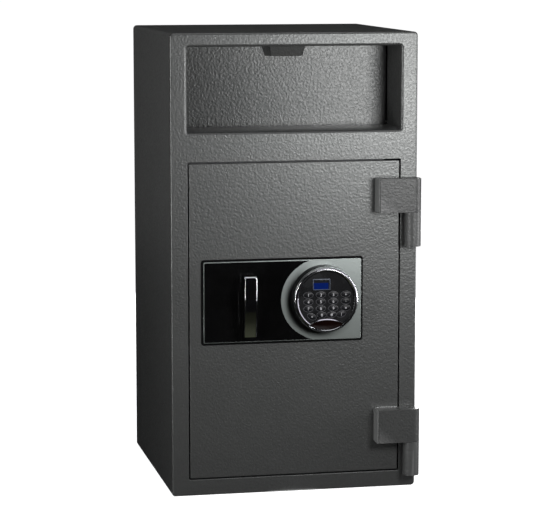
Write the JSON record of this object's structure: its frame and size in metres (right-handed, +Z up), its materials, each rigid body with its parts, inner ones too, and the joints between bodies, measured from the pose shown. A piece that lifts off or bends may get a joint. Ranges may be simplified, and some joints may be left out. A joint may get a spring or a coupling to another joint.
{
  "type": "drop safe with deposit drawer",
  "caption": "Upright steel drop safe with a tilting deposit hopper in a recess above a hinged door that has a lever, live bolts and a round keypad lock.",
  "frame": {"origin": "middle of the cabinet's base, on the floor", "axes": "+X to the right seen from the front, -Y out of the door, +Z up"},
  "size_m": [0.3825, 0.404, 0.7],
  "materials": {
    "hammertone": "charcoal grey hammertone powder coat, satin, coarse hammered relief",
    "inner_paint": "plain dark grey powder coat, satin",
    "zinc_plate": "zinc plated steel, slightly dull",
    "bright_steel": "turned bright steel, bare",
    "mirror_chrome": "polished chrome plate",
    "satin_silver": "fine satin silver, faintly green",
    "gloss_black": "high-gloss black",
    "matt_black": "fine matt black moulding",
    "key_rubber": "smooth black key rubber with pale numbers",
    "display_glass": "blue backlit display behind a clear window",
    "cast_zinc": "cast zinc, bare and slightly grainy"
  },
  "bodies": {
    "cabinet": {"cabinet_shell": "hammertone", "back_plate": "hammertone", "front_frame": "hammertone", "door_jamb": "inner_paint", "recess_sill": "hammertone", "hopper_cheek_left": "hammertone", "hopper_cheek_right": "hammertone", "hopper_hood": "hammertone", "hopper_baffle": "hammertone", "hopper_rod": "zinc_plate", "hinge_barrel_lower": "hammertone", "hinge_barrel_upper": "hammertone", "hinge_pin_lower": "bright_steel", "hinge_pin_upper": "bright_steel"},
    "hopper": {"hopper_front": "hammertone", "hopper_ramp": "hammertone", "hopper_side_left": "hammertone", "hopper_side_right": "hammertone", "hopper_pull": "hammertone"},
    "door": {"door_plate": "hammertone", "bolt_box": "inner_paint", "bolt_box_cover": "inner_paint", "dead_bar": "inner_paint", "hinge_strap_lower": "hammertone", "hinge_strap_upper": "hammertone", "panel_gasket": "matt_black", "face_plate": "satin_silver", "gloss_overlay": "gloss_black", "keypad_housing": "matt_black", "keypad_ring": "mirror_chrome", "keypad_face": "gloss_black", "display_window": "display_glass", "battery_hatch": "gloss_black", "handle_bush": "matt_black", "guide_stud_lower": "zinc_plate", "guide_stud_upper": "zinc_plate", "lock_case": "cast_zinc"},
    "handle": {"handle_lever": "mirror_chrome", "handle_spindle": "zinc_plate"},
    "boltwork": {"bolt_carriage": "zinc_plate", "live_bolt_bottom": "bright_steel", "live_bolt_middle": "bright_steel", "live_bolt_top": "bright_steel"},
    "button_01": {"key_01": "key_rubber"},
    "button_02": {"key_02": "key_rubber"},
    "button_03": {"key_03": "key_rubber"},
    "button_04": {"key_04": "key_rubber"},
    "button_05": {"key_05": "key_rubber"},
    "button_06": {"key_06": "key_rubber"},
    "button_07": {"key_07": "key_rubber"},
    "button_08": {"key_08": "key_rubber"},
    "button_09": {"key_09": "key_rubber"},
    "button_10": {"key_10": "key_rubber"},
    "button_11": {"key_11": "key_rubber"},
    "button_12": {"key_12": "key_rubber"},
    "button_13": {"key_13": "key_rubber"},
    "button_14": {"key_14": "key_rubber"},
    "button_15": {"key_15": "key_rubber"},
    "button_16": {"key_16": "key_rubber"}
  },
  "joints": [
    {"name": "hopper_tilt", "type": "hinge", "parent": "cabinet", "child": "hopper", "pos_m": [0, -0.0985, 0.5575], "axis": [1, 0, 0], "range_deg": [0, 70]},
    {"name": "door_swing", "type": "hinge", "parent": "cabinet", "child": "door", "pos_m": [0.18, -0.1979, 0.2655], "axis": [0, 0, 1], "range_deg": [0, 170]},
    {"name": "lever_turn", "type": "hinge", "parent": "door", "child": "handle", "pos_m": [-0.0741, -0.2, 0.329], "axis": [0, 1, 0], "range_deg": [0, 60]},
    {"name": "bolt_throw", "type": "slide", "parent": "door", "child": "boltwork", "axis": [-1, 0, 0], "range_m": [0, 0.024]},
    {"name": "press_01", "type": "slide", "parent": "door", "child": "button_01", "axis": [0, 1, 0], "range_m": [0, 0.0008], "stiffness_N_per_m": 400},
    {"name": "press_02", "type": "slide", "parent": "door", "child": "button_02", "axis": [0, 1, 0], "range_m": [0, 0.0008], "stiffness_N_per_m": 400},
    {"name": "press_03", "type": "slide", "parent": "door", "child": "button_03", "axis": [0, 1, 0], "range_m": [0, 0.0008], "stiffness_N_per_m": 400},
    {"name": "press_04", "type": "slide", "parent": "door", "child": "button_04", "axis": [0, 1, 0], "range_m": [0, 0.0008], "stiffness_N_per_m": 400},
    {"name": "press_05", "type": "slide", "parent": "door", "child": "button_05", "axis": [0, 1, 0], "range_m": [0, 0.0008], "stiffness_N_per_m": 400},
    {"name": "press_06", "type": "slide", "parent": "door", "child": "button_06", "axis": [0, 1, 0], "range_m": [0, 0.0008], "stiffness_N_per_m": 400},
    {"name": "press_07", "type": "slide", "parent": "door", "child": "button_07", "axis": [0, 1, 0], "range_m": [0, 0.0008], "stiffness_N_per_m": 400},
    {"name": "press_08", "type": "slide", "parent": "door", "child": "button_08", "axis": [0, 1, 0], "range_m": [0, 0.0008], "stiffness_N_per_m": 400},
    {"name": "press_09", "type": "slide", "parent": "door", "child": "button_09", "axis": [0, 1, 0], "range_m": [0, 0.0008], "stiffness_N_per_m": 400},
    {"name": "press_10", "type": "slide", "parent": "door", "child": "button_10", "axis": [0, 1, 0], "range_m": [0, 0.0008], "stiffness_N_per_m": 400},
    {"name": "press_11", "type": "slide", "parent": "door", "child": "button_11", "axis": [0, 1, 0], "range_m": [0, 0.0008], "stiffness_N_per_m": 400},
    {"name": "press_12", "type": "slide", "parent": "door", "child": "button_12", "axis": [0, 1, 0], "range_m": [0, 0.0008], "stiffness_N_per_m": 400},
    {"name": "press_13", "type": "slide", "parent": "door", "child": "button_13", "axis": [0, 1, 0], "range_m": [0, 0.0008], "stiffness_N_per_m": 400},
    {"name": "press_14", "type": "slide", "parent": "door", "child": "button_14", "axis": [0, 1, 0], "range_m": [0, 0.0008], "stiffness_N_per_m": 400},
    {"name": "press_15", "type": "slide", "parent": "door", "child": "button_15", "axis": [0, 1, 0], "range_m": [0, 0.0008], "stiffness_N_per_m": 400},
    {"name": "press_16", "type": "slide", "parent": "door", "child": "button_16", "axis": [0, 1, 0], "range_m": [0, 0.0008], "stiffness_N_per_m": 400}
  ],
  "couplings": [
    {"joint": "bolt_throw", "follows": "lever_turn", "m_per_rad": 0.0229}
  ]
}
